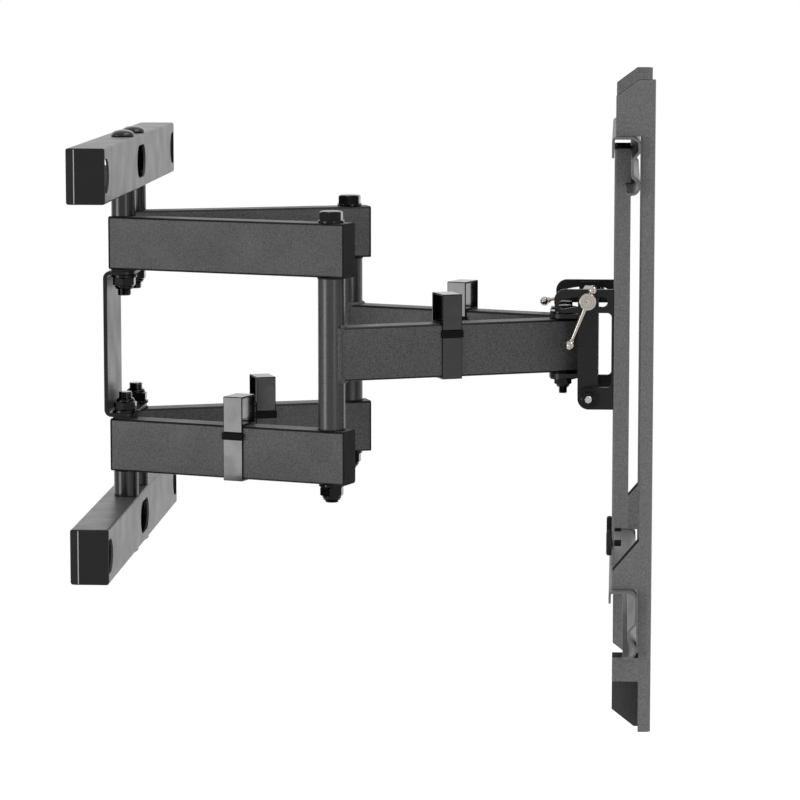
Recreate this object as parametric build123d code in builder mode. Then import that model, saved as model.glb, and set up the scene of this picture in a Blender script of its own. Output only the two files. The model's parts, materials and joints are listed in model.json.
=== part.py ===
from build123d import *
from math import asin, atan2, cos, degrees, hypot, radians, sin
import os

os.makedirs("parts", exist_ok=True)

# Frame: X away from the wall, Y along the wall, Z up.
# The origin lies on the wall, midway between the two wall rails.

# Fits
running_gap = 0.06
slip_gap = 0.2

# Wall rails: rectangular steel tube
rail_length = 575.0
rail_depth = 42.0
rail_height = 60.0
rail_wall = 2.5
rail_corner = 2.5
rail_centre_z = 205.0
access_length = 68.0
access_height = 37.0
wall_bolt_spacing = 524.0
wall_slot_length = 24.0
centre_slot_length = 40.0
wall_slot_width = 9.5
rail_plug_flange = 4.0
rail_plug_depth = 8.0
rail_plug_rim = 1.2
rail_plug_bevel = 3.5
rail_plug_bevel_width = 8.5

# Arm tube
tube_height = 60.0
tube_width = 30.0
tube_wall = 2.5
tube_corner = 3.0
arm_centre_z = 115.3
arm_length = 258.7
arm_rest_angle = 19.83
arm_wall_overhang = 11.9
arm_elbow_overhang = 22.0
forearm_length = 276.9
forearm_head_overhang = 15.0
tube_cope = 4.0
tube_plug_flange = 2.0
tube_plug_depth = 10.0
short_plug_depth = 1.5
plug_round = 1.8

# Wall pivots
wall_pivot_x = 26.8
wall_pivot_half = 42.7
pivot_bolt_radius = 8.0
sleeve_radius = 13.85
mushroom_radius = 13.5
mushroom_height = 8.0
mushroom_round = 6.4
pivot_washer_radius = 14.5
pivot_washer_thickness = 3.0
pivot_nut_flats = 24.0
pivot_nut_height = 13.2
pivot_nut_turn = 30.0
pivot_head_height = 10.0
thread_beyond_nut = 7.4
slip_washer_thickness = 1.8

# C-shaped bracket between the upper and lower arms
bracket_thickness = 4.5
bracket_half_width = 55.0
bracket_back_x = 4.2
bracket_front_reach = 12.7
bracket_bend = 6.0
bracket_corner = 12.0

# Elbow
column_radius = 15.0
column_bore_radius = 11.0
bush_flange_radius = 15.6
bush_flange = 1.5
bush_length = 20.0
elbow_nut_height = 15.0
elbow_thread_beyond = 3.0
elbow_hex_turn = 25.0

# Head pivots
head_pivot_half = 22.0
head_bolt_radius = 5.0
head_slip_washer = 1.0
head_slip_washer_radius = 13.5
head_washer_radius = 15.0
head_washer_thickness = 2.2
head_nut_flats = 17.0
head_nut_height = 9.0
head_hex_height = 6.4
head_thread_beyond = 7.5
far_pivot_play = 2.0
swivel_limit = 8.0

# Head bracket
head_plate = 5.0
head_flange_back = 15.5
head_flange_half_width = 42.0
head_flange_corner = 16.0
head_web_front = 40.0
cheek_back = 16.9
cheek_inner_half = 51.0
cheek_top_z = 65.0
web_top_z = 46.0
web_bottom_z = -45.0

# Tilting frame
tilt_pivot_ahead = 29.4
tilt_pivot_z = -56.7
tilt_bolt_radius = 5.0
tilt_lobe_radius = 12.3
tilt_stub_radius = 4.0
tilt_nut_flats = 15.0
tilt_nut_height = 6.5
tilt_thread_beyond = 3.2
tilt_washer_thickness = 2.0
hex_inside = 6.0
stud_ahead = 28.1
stud_z = 53.3
stud_radius = 4.0
stud_play = 1.5
tilt_forward = 15.0
tilt_back = 5.0
ear_half_height = 13.3
ear_end_wall = 5.0
slot_spare_back = 3.7
slot_spare_forward = -0.6
ear_round = 12.5
spine = 2.0
tilt_arm_half_height = 12.6
frame_ahead = 56.8
frame_cheek_gap = 1.0
frame_cheek = 5.0
frame_window_round = 5.0

# Clamping levers
lever_hub_radius = 9.5
lever_hub_length = 11.0
lever_rod_radius = 2.8
lever_ball_radius = 5.4
lever_long = 53.0
lever_short = 14.0
lever_hub_chamfer = 1.0
stud_into_hub = 6.6
near_lever_angle = 248.0
far_lever_angle = 194.4

# Channel plate
channel_sheet = 3.0
channel_depth = 18.3
channel_bend = 2.5
channel_half_width = 62.0
channel_top_z = 224.5
channel_flange_bottom_z = -204.0

# Television rails: folded sheet with a hooked top edge
tv_rail_sheet = 2.5
tv_rail_length = 456.0
tv_rail_upper_z = 214.3
tv_rail_lower_z = -283.9
tv_rail_upper_height = 62.5
tv_rail_lower_height = 75.0
tv_rail_hook_ahead = 54.2
tv_rail_upper_drop = 21.0
tv_rail_lower_drop = 12.0
tv_rail_bulge_out = 9.9
tv_rail_upper_bulge = 15.0
tv_rail_lower_bulge = 34.5
tv_rail_slope = 8.0
tv_rail_foot_height = 11.0
tv_rail_foot_return = 14.0
foot_spare = 0.8
tv_rail_bend = 3.0
tv_rail_bulge_round = 8.5
tv_rail_slope_round = 5.0

# Upright television brackets
tv_bracket_sheet = 3.0
tv_bracket_top_z = 306.0
tv_bracket_bottom_z = -404.0
tv_bracket_back = 58.4
tv_face_ahead = 100.7
tv_bracket_width = 32.0
tv_bracket_bend = 4.5
tv_spacing_y = 400.0
tv_spacing_z = 600.0
tv_hole_radius = 4.5
tv_slot_count = 5
tv_slot_length = 36.0
top_chamfer_x = 24.3
top_chamfer_z = 18.0
strip_ahead = 86.9
upper_notch_top_z = 246.0
lower_notch_top_z = -246.0
lower_notch_bottom_z = -322.0
diagonal_top_z = -193.5
diagonal_bottom_z = -227.0
foot_cut_z = -348.0
foot_chamfer_z = 19.0

# Lock knobs
knob_half_spacing = 51.0
knob_z = -223.0
knob_radius = 15.0
knob_thickness = 6.0
knob_stud_radius = 4.0
knob_lobes = 6
knob_lobe_radius = 5.5
knob_stud_beyond = 8.0

# Cable clips
clip_wall = 2.0
clip_gap = 0.1
clip_length = 23.6
clip_band_length = 25.6
clip_band_height = 8.0
clip_band_drop = 7.5
clip_loop_height = 33.0
arm_clip_near = 144.4
arm_clip_far = 152.0
forearm_clip_near = 136.6
forearm_clip_far = 148.0

# Places worked out from the sizes above
sides = (("near", -1), ("far", 1))
levels = (("upper", 1), ("lower", -1))
elbow_x = wall_pivot_x + arm_length * cos(radians(arm_rest_angle))
elbow_y = wall_pivot_half + arm_length * sin(radians(arm_rest_angle))
forearm_angle = degrees(asin((elbow_y - head_pivot_half) / forearm_length))
head_x = elbow_x + forearm_length * cos(radians(forearm_angle))
arm_inner_z = arm_centre_z - tube_height / 2
arm_outer_z = arm_centre_z + tube_height / 2
rail_inner_z = rail_centre_z - rail_height / 2
rail_outer_z = rail_centre_z + rail_height / 2
flange_outer_z = arm_inner_z - slip_gap - slip_washer_thickness
flange_inner_z = flange_outer_z - bracket_thickness
washer_inner_z = flange_inner_z - pivot_washer_thickness
nut_inner_z = washer_inner_z - pivot_nut_height
tilt_x = head_x + tilt_pivot_ahead
stud_x = head_x + stud_ahead
frame_x = head_x + frame_ahead
channel_front_x = frame_x + channel_depth
cheek_outer_half = cheek_inner_half + head_plate
frame_cheek_inner = cheek_outer_half + frame_cheek_gap
frame_cheek_outer = frame_cheek_inner + frame_cheek
tv_face_x = head_x + tv_face_ahead
tv_centre_z = (tv_bracket_top_z + tv_bracket_bottom_z) / 2


def direction(angle, side):
    return (cos(radians(angle)), side * sin(radians(angle)), 0)


def along(origin, angle, side, distance):
    heading = direction(angle, side)
    return (origin[0] + distance * heading[0], origin[1] + distance * heading[1], origin[2])


def section_plane(origin, angle, side):
    # Across a tube: local X sideways, local Y up, normal along the tube
    heading = direction(angle, side)
    return Plane(origin=origin, x_dir=(-heading[1], heading[0], 0), z_dir=heading)


def tube_profile(plane):
    with BuildSketch(plane) as profile:
        RectangleRounded(tube_width, tube_height, tube_corner)
        Rectangle(tube_width - 2 * tube_wall, tube_height - 2 * tube_wall, mode=Mode.SUBTRACT)
    return profile.sketch


def save(piece, name):
    piece.part.label = name
    export_step(piece.part, f"parts/{name}.step")


# Wall rails: openings in the front wall, slots for the wall's bolts in the back wall
for level, up in levels:
    with BuildPart() as wall_rail:
        with BuildSketch(Plane.XZ.offset(-(rail_length / 2 - rail_plug_flange))):
            with Locations((rail_depth / 2, up * rail_centre_z)):
                RectangleRounded(rail_depth, rail_height, rail_corner)
                Rectangle(rail_depth - 2 * rail_wall, rail_height - 2 * rail_wall, mode=Mode.SUBTRACT)
        extrude(amount=rail_length - 2 * rail_plug_flange)
        with BuildSketch(Plane.YZ.offset(rail_depth)):
            with Locations(*[(place * rail_length / 2, up * rail_centre_z) for place in (-1, 0, 1)]):
                SlotOverall(access_length, access_height)
        extrude(amount=-(rail_wall + rail_corner), mode=Mode.SUBTRACT)
        with BuildSketch(Plane.YZ):
            with Locations(*[(place * wall_bolt_spacing / 2, up * rail_centre_z) for place in (-1, 1)]):
                SlotOverall(wall_slot_length, wall_slot_width)
            with Locations((0, up * rail_centre_z)):
                SlotOverall(centre_slot_length, wall_slot_width)
        extrude(amount=rail_wall + rail_corner, mode=Mode.SUBTRACT)
        for _, side in sides:
            with Locations((wall_pivot_x, side * wall_pivot_half, up * rail_centre_z)):
                Cylinder(pivot_bolt_radius + slip_gap, 2 * rail_height, mode=Mode.SUBTRACT)
    save(wall_rail, f"wall_rail_{level}")

# End plugs of the wall rails
with BuildPart() as rail_plugs:
    for _, up in levels:
        for _, side in sides:
            outward = Plane(origin=(rail_depth / 2, side * (rail_length / 2 - rail_plug_flange),
                            up * rail_centre_z), x_dir=(side, 0, 0), z_dir=(0, side, 0))
            with BuildSketch(outward):
                RectangleRounded(rail_depth, rail_height, rail_corner)
            extrude(amount=rail_plug_flange)
            with BuildSketch(outward):
                Rectangle(rail_depth - 2 * rail_wall - slip_gap, rail_height - 2 * rail_wall - slip_gap)
            extrude(amount=-rail_plug_depth)
    rims = rail_plugs.edges().filter_by(lambda edge: abs(edge.center().Y) > rail_length / 2 - 0.01)
    fillet(rims, rail_plug_rim)
    # The edge beside the wall is cut to a wide bevel
    for _, up in levels:
        for _, side in sides:
            with BuildSketch(Plane.XY.offset(up * rail_centre_z)):
                with BuildLine():
                    Polyline((0, side * (rail_length / 2 - rail_plug_bevel)),
                             (rail_plug_bevel_width, side * rail_length / 2),
                             (0, side * rail_length / 2), close=True)
                make_face()
            extrude(amount=rail_height / 2, both=True, mode=Mode.SUBTRACT)
save(rail_plugs, "rail_end_plugs")

# Spacer sleeves between rails and arms
with BuildPart() as sleeves:
    for _, up in levels:
        for _, side in sides:
            with BuildSketch(Plane.XY.offset(up * rail_inner_z)):
                with Locations((wall_pivot_x, side * wall_pivot_half)):
                    Circle(sleeve_radius)
                    Circle(pivot_bolt_radius + slip_gap, mode=Mode.SUBTRACT)
            extrude(amount=-up * (rail_inner_z - arm_outer_z - slip_gap))
save(sleeves, "spacer_sleeves")

# Mushroom-head bolts through rail, sleeve, arm and bracket
with BuildPart() as wall_bolts:
    for _, up in levels:
        for _, side in sides:
            place = (wall_pivot_x, side * wall_pivot_half)
            with BuildSketch(Plane.XY.offset(up * rail_outer_z)):
                with Locations(place):
                    Circle(mushroom_radius)
            extrude(amount=up * mushroom_height)
            with BuildSketch(Plane.XY.offset(up * rail_outer_z)):
                with Locations(place):
                    Circle(pivot_bolt_radius)
            extrude(amount=-up * (rail_outer_z - nut_inner_z + thread_beyond_nut))
    rims = wall_bolts.edges().filter_by(GeomType.CIRCLE).filter_by(
        lambda edge: abs(edge.center().Z) > rail_outer_z + mushroom_height - 0.01)
    fillet(rims, mushroom_round)
save(wall_bolts, "wall_pivot_bolts")

# Slip washers between the arms and the bracket
with BuildPart() as slip_washers:
    for _, up in levels:
        for _, side in sides:
            with BuildSketch(Plane.XY.offset(up * flange_outer_z)):
                with Locations((wall_pivot_x, side * wall_pivot_half)):
                    Circle(pivot_washer_radius)
                    Circle(pivot_bolt_radius + slip_gap, mode=Mode.SUBTRACT)
            extrude(amount=up * slip_washer_thickness)
save(slip_washers, "slip_washers")

# Steel washers and lock nuts inside the bracket
with BuildPart() as wall_washers:
    for _, up in levels:
        for _, side in sides:
            with BuildSketch(Plane.XY.offset(up * washer_inner_z)):
                with Locations((wall_pivot_x, side * wall_pivot_half)):
                    Circle(pivot_washer_radius)
                    Circle(pivot_bolt_radius + slip_gap, mode=Mode.SUBTRACT)
            extrude(amount=up * pivot_washer_thickness)
save(wall_washers, "wall_pivot_washers")

with BuildPart() as wall_nuts:
    for _, up in levels:
        for _, side in sides:
            with BuildSketch(Plane.XY.offset(up * nut_inner_z)):
                with Locations((wall_pivot_x, side * wall_pivot_half)):
                    RegularPolygon(pivot_nut_flats / 2, 6, major_radius=False, rotation=pivot_nut_turn)
                    Circle(pivot_bolt_radius, mode=Mode.SUBTRACT)
            extrude(amount=up * pivot_nut_height)
save(wall_nuts, "wall_pivot_nuts")

# C-shaped bracket, folded from one strip
bracket_front_x = wall_pivot_x + bracket_front_reach
bracket_mid_x = bracket_back_x + bracket_thickness / 2
bracket_mid_z = flange_outer_z - bracket_thickness / 2
with BuildPart() as wall_bracket:
    with BuildSketch(Plane.XZ.offset(-bracket_half_width)):
        with BuildLine() as fold:
            FilletPolyline((bracket_front_x, bracket_mid_z), (bracket_mid_x, bracket_mid_z),
                           (bracket_mid_x, -bracket_mid_z), (bracket_front_x, -bracket_mid_z),
                           radius=bracket_bend)
        trace(fold.line, bracket_thickness)
    extrude(amount=2 * bracket_half_width)
    corners = wall_bracket.edges().filter_by(Axis.Z).filter_by(
        lambda edge: edge.center().X > bracket_front_x - 0.01)
    fillet(corners, bracket_corner)
    for _, side in sides:
        with Locations((wall_pivot_x, side * wall_pivot_half, 0)):
            Cylinder(pivot_bolt_radius + slip_gap, 3 * flange_outer_z, mode=Mode.SUBTRACT)
save(wall_bracket, "wall_bracket")

# Arms, with a hole at the wall pivot and one at the elbow
arm_tube_length = arm_length + arm_wall_overhang + arm_elbow_overhang - 2 * tube_plug_flange
for side_name, side in sides:
    for level, up in levels:
        wall_pivot = (wall_pivot_x, side * wall_pivot_half, up * arm_centre_z)
        start = along(wall_pivot, arm_rest_angle, side, tube_plug_flange - arm_wall_overhang)
        with BuildPart() as arm:
            profile = tube_profile(section_plane(start, arm_rest_angle, side))
            extrude(profile, amount=arm_tube_length)
            with Locations(wall_pivot, (elbow_x, side * elbow_y, up * arm_centre_z)):
                Cylinder(pivot_bolt_radius + running_gap, 2 * tube_height, mode=Mode.SUBTRACT)
        save(arm, f"arm_{side_name}_{level}")

    # Plugs in both ends of the upper and lower arm
    with BuildPart() as arm_plugs:
        for _, up in levels:
            wall_pivot = (wall_pivot_x, side * wall_pivot_half, up * arm_centre_z)
            for distance, outward in ((tube_plug_flange - arm_wall_overhang, -1),
                                      (arm_length + arm_elbow_overhang - tube_plug_flange, 1)):
                end_plane = section_plane(along(wall_pivot, arm_rest_angle, side, distance),
                                          arm_rest_angle, side)
                with BuildSketch(end_plane):
                    RectangleRounded(tube_width, tube_height, tube_corner)
                extrude(amount=outward * tube_plug_flange)
                # The pivot bolt leaves little room in the wall end
                with BuildSketch(end_plane):
                    Rectangle(tube_width - 2 * tube_wall - slip_gap, tube_height - 2 * tube_wall - slip_gap)
                extrude(amount=-tube_plug_depth if outward > 0 else short_plug_depth)
    save(arm_plugs, f"arm_plugs_{side_name}")

    # Elbow bolt from top to bottom, its washers and its lock nut
    elbow = (elbow_x, side * elbow_y)
    with BuildPart() as elbow_bolt:
        with BuildSketch(Plane.XY.offset(arm_outer_z + pivot_washer_thickness)):
            with Locations(elbow):
                RegularPolygon(pivot_nut_flats / 2, 6, major_radius=False, rotation=elbow_hex_turn)
        extrude(amount=pivot_head_height)
        with BuildSketch(Plane.XY.offset(arm_outer_z + pivot_washer_thickness)):
            with Locations(elbow):
                Circle(pivot_bolt_radius)
        extrude(amount=-(2 * (arm_outer_z + pivot_washer_thickness) + elbow_nut_height + elbow_thread_beyond))
    save(elbow_bolt, f"elbow_bolt_{side_name}")

    with BuildPart() as elbow_washers:
        for _, up in levels:
            with BuildSketch(Plane.XY.offset(up * arm_outer_z)):
                with Locations(elbow):
                    Circle(pivot_washer_radius)
                    Circle(pivot_bolt_radius, mode=Mode.SUBTRACT)
            extrude(amount=up * pivot_washer_thickness)
    save(elbow_washers, f"elbow_washers_{side_name}")

    with BuildPart() as elbow_nut:
        with BuildSketch(Plane.XY.offset(-arm_outer_z - pivot_washer_thickness)):
            with Locations(elbow):
                RegularPolygon(pivot_nut_flats / 2, 6, major_radius=False, rotation=elbow_hex_turn)
                Circle(pivot_bolt_radius, mode=Mode.SUBTRACT)
        extrude(amount=-elbow_nut_height)
    save(elbow_nut, f"elbow_nut_{side_name}")

# Forearms: the tube is coped to the elbow column and welded to it
column_end_z = arm_inner_z - slip_gap - bush_flange
for side_name, side in sides:
    elbow = (elbow_x, side * elbow_y, 0)
    head_pivot = (head_x, side * head_pivot_half, 0)
    play = running_gap if side_name == "near" else far_pivot_play
    with BuildPart() as forearm:
        start = along(elbow, forearm_angle, -side, tube_cope)
        profile = tube_profile(section_plane(start, forearm_angle, -side))
        extrude(profile, amount=forearm_length + forearm_head_overhang - tube_plug_flange - tube_cope)
        with Locations(elbow):
            Cylinder(column_radius, 2 * column_end_z)
            Cylinder(column_bore_radius, 2 * column_end_z, mode=Mode.SUBTRACT)
        with Locations(head_pivot):
            Cylinder(head_bolt_radius + play, 2 * tube_height, mode=Mode.SUBTRACT)
    save(forearm, f"forearm_{side_name}")

    # Plug in the head end
    with BuildPart() as forearm_plug:
        end_plane = section_plane(along(elbow, forearm_angle, -side, forearm_length + forearm_head_overhang
                                        - tube_plug_flange), forearm_angle, -side)
        with BuildSketch(end_plane):
            Rectangle(tube_width, tube_height)
        extrude(amount=tube_plug_flange)
        rims = forearm_plug.edges().filter_by(Axis.Z)
        tip = along(elbow, forearm_angle, -side, forearm_length + forearm_head_overhang)
        fillet(rims.sort_by_distance(tip)[:2], plug_round)
        with BuildSketch(end_plane):
            Rectangle(tube_width - 2 * tube_wall - slip_gap, tube_height - 2 * tube_wall - slip_gap)
        extrude(amount=-short_plug_depth)
    save(forearm_plug, f"forearm_plug_{side_name}")

    # Flanged bushes in the two ends of the elbow column
    with BuildPart() as elbow_bushes:
        for _, up in levels:
            with BuildSketch(Plane.XY.offset(up * column_end_z)):
                with Locations((elbow_x, side * elbow_y)):
                    Circle(bush_flange_radius)
                    Circle(pivot_bolt_radius + running_gap, mode=Mode.SUBTRACT)
            extrude(amount=up * bush_flange)
            with BuildSketch(Plane.XY.offset(up * column_end_z)):
                with Locations((elbow_x, side * elbow_y)):
                    Circle(column_bore_radius)
                    Circle(pivot_bolt_radius + running_gap, mode=Mode.SUBTRACT)
            extrude(amount=-up * bush_length)
    save(elbow_bushes, f"elbow_bushes_{side_name}")


# Cable clips: a strap round the tube and a cover with a square ring, plugged into the strap's band
tube_top = tube_height / 2
clip_inner = tube_width + 2 * clip_gap
clip_outer = clip_inner + 2 * clip_wall
band_top = tube_top - clip_band_drop
band_bottom = band_top - clip_band_height
strap_bottom = -tube_top - clip_gap - clip_wall
from_below = (Align.CENTER, Align.MIN)
clips = []
for side_name, side in sides:
    wall_pivot = (wall_pivot_x, side * wall_pivot_half, -arm_centre_z)
    elbow = (elbow_x, side * elbow_y, 0)
    on_arm = arm_clip_near if side_name == "near" else arm_clip_far
    on_forearm = forearm_clip_near if side_name == "near" else forearm_clip_far
    clips.append((f"arm_{side_name}", along(wall_pivot, arm_rest_angle, side, on_arm), arm_rest_angle, side))
    clips.append((f"forearm_{side_name}", along(elbow, forearm_angle, -side, on_forearm),
                  forearm_angle, -side))
for clip_name, centre, angle, side in clips:
    clip_plane = section_plane(centre, angle, side)
    with BuildPart() as clip_strap:
        for width, bottom, length in ((clip_outer, strap_bottom, clip_length),
                                      (clip_outer + 2 * clip_wall, band_bottom, clip_band_length)):
            with BuildSketch(clip_plane):
                with Locations((0, bottom)):
                    Rectangle(width, band_top - bottom, align=from_below)
            extrude(amount=length / 2, both=True)
        with BuildSketch(clip_plane):
            with Locations((0, strap_bottom + clip_wall)):
                Rectangle(clip_inner, band_top - strap_bottom, align=from_below)
        extrude(amount=clip_band_length, both=True, mode=Mode.SUBTRACT)
    save(clip_strap, f"clip_strap_{clip_name}")
    with BuildPart() as clip_cover:
        with BuildSketch(clip_plane):
            with Locations((0, band_top)):
                Rectangle(clip_outer, clip_band_drop + clip_loop_height, align=from_below)
                Rectangle(clip_inner, clip_band_drop + clip_gap, align=from_below, mode=Mode.SUBTRACT)
            with Locations((0, tube_top + clip_gap + clip_wall)):
                Rectangle(clip_inner, clip_loop_height - clip_gap - 2 * clip_wall, align=from_below,
                          mode=Mode.SUBTRACT)
        extrude(amount=clip_length / 2, both=True)
    save(clip_cover, f"clip_cover_{clip_name}")

# Head pivot bolts, washers and nuts: they stay square to the wall while the forearms fold
flange_in_z = tube_top + 2 * slip_gap + head_slip_washer
flange_out_z = flange_in_z + head_plate
head_washer_z = flange_out_z + slip_gap
head_clamp_z = head_washer_z + head_washer_thickness
with BuildPart() as head_bolts:
    for _, side in sides:
        place = (head_x, side * head_pivot_half)
        with BuildSketch(Plane.XY.offset(head_clamp_z)):
            with Locations(place):
                RegularPolygon(head_nut_flats / 2, 6, major_radius=False)
        extrude(amount=head_hex_height)
        with BuildSketch(Plane.XY.offset(head_clamp_z)):
            with Locations(place):
                Circle(head_bolt_radius)
        extrude(amount=-(2 * head_clamp_z + head_nut_height + head_thread_beyond))
save(head_bolts, "head_pivot_bolts")

with BuildPart() as head_washers:
    for _, up in levels:
        for _, side in sides:
            for z, thickness, radius in ((tube_top + slip_gap, head_slip_washer, head_slip_washer_radius),
                                         (head_washer_z, head_washer_thickness, head_washer_radius)):
                with BuildSketch(Plane.XY.offset(up * z)):
                    with Locations((head_x, side * head_pivot_half)):
                        Circle(radius)
                        Circle(head_bolt_radius, mode=Mode.SUBTRACT)
                extrude(amount=up * thickness)
save(head_washers, "head_pivot_washers")

with BuildPart() as head_nuts:
    for _, side in sides:
        with BuildSketch(Plane.XY.offset(-head_clamp_z)):
            with Locations((head_x, side * head_pivot_half)):
                RegularPolygon(head_nut_flats / 2, 6, major_radius=False)
                Circle(head_bolt_radius, mode=Mode.SUBTRACT)
        extrude(amount=-head_nut_height)
save(head_nuts, "head_pivot_nuts")

# Head bracket: web, two pivot flanges and two cheeks, welded into one piece
swivel_play = 2 * head_pivot_half * sin(radians(swivel_limit / 2)) + 2 * slip_gap
with BuildPart() as head_bracket:
    with BuildSketch(Plane.YZ.offset(head_x + head_web_front - head_plate)):
        with Locations((0, (web_top_z + web_bottom_z) / 2)):
            Rectangle(2 * cheek_outer_half, web_top_z - web_bottom_z)
    extrude(amount=head_plate)
    for _, up in levels:
        with BuildSketch(Plane.XY.offset(up * flange_in_z)):
            with Locations((head_x - head_flange_back, 0)):
                Rectangle(head_flange_back + head_web_front, 2 * head_flange_half_width,
                          align=(Align.MIN, Align.CENTER))
        extrude(amount=up * head_plate)
    back_corners = head_bracket.edges().filter_by(Axis.Z).filter_by(
        lambda edge: edge.center().X < head_x - head_flange_back + 0.01)
    fillet(back_corners, head_flange_corner)
    for _, side in sides:
        with BuildSketch(Plane.XZ.offset(-side * cheek_inner_half)):
            with BuildLine():
                Polyline((head_x + cheek_back, tilt_pivot_z), (head_x + head_web_front, tilt_pivot_z),
                         (head_x + head_web_front, cheek_top_z), (head_x + cheek_back, cheek_top_z),
                         close=True)
            make_face()
            with Locations((tilt_x, tilt_pivot_z)):
                Circle(tilt_lobe_radius)
        extrude(amount=-side * head_plate)
    for _, side in sides:
        with Locations((head_x, side * head_pivot_half, 0)):
            Cylinder(head_bolt_radius + swivel_play, 3 * flange_out_z, mode=Mode.SUBTRACT)
    for x, z, radius in ((tilt_x, tilt_pivot_z, tilt_bolt_radius), (stud_x, stud_z, stud_radius)):
        with Locations(Location((x, 0, z), (90, 0, 0))):
            Cylinder(radius, 3 * cheek_outer_half, mode=Mode.SUBTRACT)
save(head_bracket, "head_bracket")

# Tilt pivot bolts: hex head inside, washer, nut and bright thread end outside
tilt_washer_in = frame_cheek_outer + slip_gap
with BuildPart() as tilt_bolts:
    for _, side in sides:
        with BuildSketch(Plane.XZ.offset(-side * cheek_inner_half)):
            with Locations((tilt_x, tilt_pivot_z)):
                RegularPolygon(tilt_nut_flats / 2, 6, major_radius=False)
        extrude(amount=side * hex_inside)
        with BuildSketch(Plane.XZ.offset(-side * cheek_inner_half)):
            with Locations((tilt_x, tilt_pivot_z)):
                Circle(tilt_bolt_radius)
        extrude(amount=-side * (tilt_washer_in + tilt_washer_thickness - cheek_inner_half))
        with BuildSketch(Plane.XZ.offset(-side * cheek_inner_half)):
            with Locations((tilt_x, tilt_pivot_z)):
                Circle(tilt_stub_radius)
        extrude(amount=-side * (tilt_washer_in + tilt_washer_thickness + tilt_nut_height
                                + tilt_thread_beyond - cheek_inner_half))
save(tilt_bolts, "tilt_pivot_bolts")

with BuildPart() as tilt_washers:
    for _, side in sides:
        with BuildSketch(Plane.XZ.offset(-side * tilt_washer_in)):
            with Locations((tilt_x, tilt_pivot_z)):
                Circle(tilt_lobe_radius)
                Circle(tilt_bolt_radius, mode=Mode.SUBTRACT)
        extrude(amount=-side * tilt_washer_thickness)
save(tilt_washers, "tilt_pivot_washers")

with BuildPart() as tilt_nuts:
    for _, side in sides:
        with BuildSketch(Plane.XZ.offset(-side * (tilt_washer_in + tilt_washer_thickness))):
            with Locations((tilt_x, tilt_pivot_z)):
                RegularPolygon(tilt_nut_flats / 2, 6, major_radius=False)
                Circle(tilt_stub_radius, mode=Mode.SUBTRACT)
        extrude(amount=-side * tilt_nut_height)
save(tilt_nuts, "tilt_pivot_nuts")

# Clamp studs: they pass through the cheek and the ear's slot into the lever's hub
stud_out = frame_cheek_outer + 2 * slip_gap + stud_into_hub
with BuildPart() as clamp_studs:
    for _, side in sides:
        with BuildSketch(Plane.XZ.offset(-side * cheek_inner_half)):
            with Locations((stud_x, stud_z)):
                RegularPolygon(tilt_nut_flats / 2, 6, major_radius=False)
        extrude(amount=side * hex_inside)
        with BuildSketch(Plane.XZ.offset(-side * cheek_inner_half)):
            with Locations((stud_x, stud_z)):
                Circle(stud_radius)
        extrude(amount=-side * (stud_out - cheek_inner_half))
save(clamp_studs, "clamp_studs")

# Levers: a round hub on the stud and a rod with a ball at each end
hub_in = frame_cheek_outer + 2 * slip_gap
rod_half = hub_in + lever_hub_length / 2
for (side_name, side), angle in zip(sides, (near_lever_angle, far_lever_angle)):
    rod_axis = (cos(radians(angle)), 0, sin(radians(angle)))
    hub_middle = (stud_x, side * rod_half, stud_z)
    rod_plane = Plane(origin=hub_middle, x_dir=(0, 1, 0), z_dir=rod_axis)
    with BuildPart() as lever:
        with BuildSketch(Plane.XZ.offset(-side * hub_in)):
            with Locations((stud_x, stud_z)):
                Circle(lever_hub_radius)
        extrude(amount=-side * lever_hub_length)
        rims = lever.edges().filter_by(GeomType.CIRCLE).filter_by(
            lambda edge: abs(edge.center().Y) > hub_in + lever_hub_length - 0.01)
        chamfer(rims, lever_hub_chamfer)
        with BuildSketch(rod_plane.offset(-lever_short)):
            Circle(lever_rod_radius)
        extrude(amount=lever_short + lever_long)
        for distance in (-lever_short, lever_long):
            with Locations(rod_plane.offset(distance).location):
                Sphere(lever_ball_radius)
        with BuildSketch(Plane.XZ.offset(-side * hub_in)):
            with Locations((stud_x, stud_z)):
                Circle(stud_radius + running_gap)
        extrude(amount=-side * (stud_out - hub_in + slip_gap), mode=Mode.SUBTRACT)
    save(lever, f"lever_{side_name}")

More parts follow.
